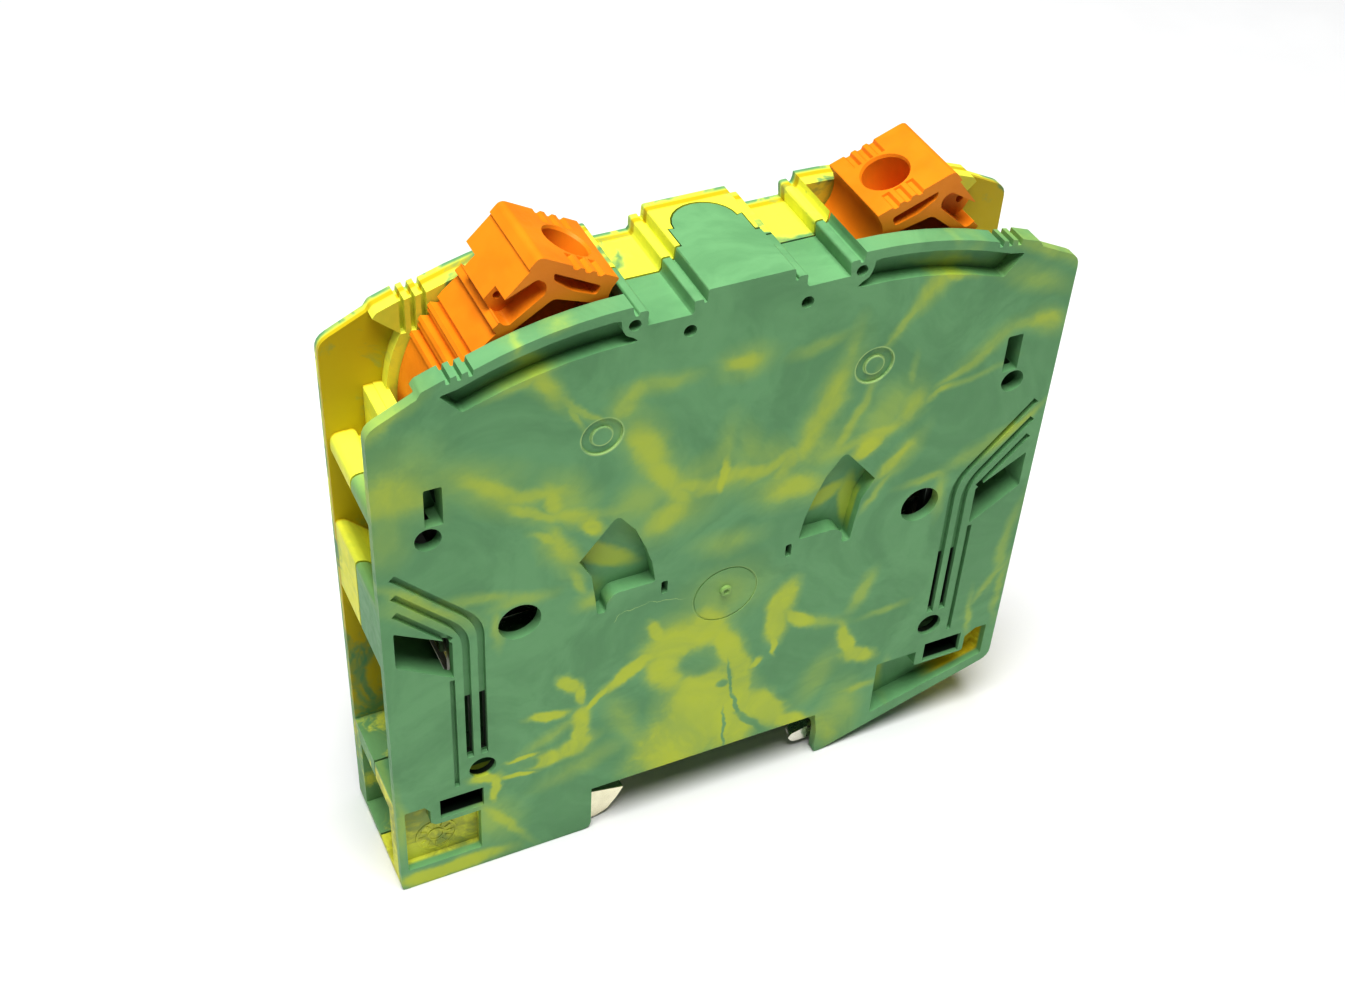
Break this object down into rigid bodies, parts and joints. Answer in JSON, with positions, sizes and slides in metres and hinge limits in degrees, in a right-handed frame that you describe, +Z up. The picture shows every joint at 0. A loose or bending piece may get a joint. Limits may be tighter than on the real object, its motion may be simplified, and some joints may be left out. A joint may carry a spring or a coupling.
{
  "type": "rail-mounted ground terminal block",
  "caption": "Slim two-conductor ground terminal block for a 35 mm rail: marbled half shells, swing levers over screwless clamp cages, a current bar and a sprung rail latch.",
  "frame": {"origin": "under the middle of the block, level with the lowest point of its two feet", "axes": "+X across the rail towards the end with the fixed contact foot, +Y through the block's thickness from the front shell to the back shell, +Z up from the rail towards the levers"},
  "size_m": [0.0938, 0.0188, 0.098],
  "materials": {
    "marbled_green": "satin moulded polyamide, green with yellow swirls",
    "marbled_yellow": "satin moulded polyamide, yellow with green swirls",
    "orange_plastic": "satin moulded polyamide, bright orange",
    "tinned_copper": "bright tin plating",
    "plated_steel": "bright nickel plating",
    "cage_steel": "zinc-plated pressed steel",
    "pin_steel": "ground steel",
    "rivet_steel": "plated steel",
    "spring_steel": "spring steel"
  },
  "bodies": {
    "housing": {"front_shell": "marbled_green", "back_shell": "marbled_yellow", "current_bar": "tinned_copper", "contact_foot": "tinned_copper", "left_rivet": "rivet_steel", "right_rivet": "rivet_steel", "left_pivot_pin": "pin_steel", "right_pivot_pin": "pin_steel", "latch_spring": "spring_steel"},
    "left_lever_body": {"left_lever": "orange_plastic", "left_crank_pin": "pin_steel"},
    "right_lever_body": {"right_lever": "orange_plastic", "right_crank_pin": "pin_steel"},
    "left_clamp": {"left_clamp_cage": "cage_steel", "left_clamp_spring": "spring_steel", "left_pressure_shoe": "tinned_copper"},
    "right_clamp": {"right_clamp_cage": "cage_steel", "right_clamp_spring": "spring_steel", "right_pressure_shoe": "tinned_copper"},
    "latch": {"rail_latch": "plated_steel"}
  },
  "joints": [
    {"name": "left_lever_swing", "type": "hinge", "parent": "housing", "child": "left_lever_body", "pos_m": [-0.0184, 0, 0.0732], "axis": [0, -1, 0], "range_deg": [0, 45]},
    {"name": "right_lever_swing", "type": "hinge", "parent": "housing", "child": "right_lever_body", "pos_m": [0.0184, 0, 0.0732], "axis": [0, 1, 0], "range_deg": [-7, 38]},
    {"name": "left_clamp_slide", "type": "slide", "parent": "housing", "child": "left_clamp", "axis": [0, 0, -1], "range_m": [0, 0.0111]},
    {"name": "right_clamp_slide", "type": "slide", "parent": "housing", "child": "right_clamp", "axis": [0, 0, -1], "range_m": [-0.00175, 0.0094]},
    {"name": "latch_slide", "type": "slide", "parent": "housing", "child": "latch", "axis": [-1, 0, 0], "range_m": [0, 0.0054], "stiffness_N_per_m": 2000, "springref_m": -0.001, "deforming": ["latch_spring"]}
  ],
  "couplings": [
    {"joint": "left_clamp_slide", "follows": "left_lever_swing", "m_per_rad": 0.01413},
    {"joint": "right_clamp_slide", "follows": "right_lever_swing", "m_per_rad": 0.01413}
  ]
}
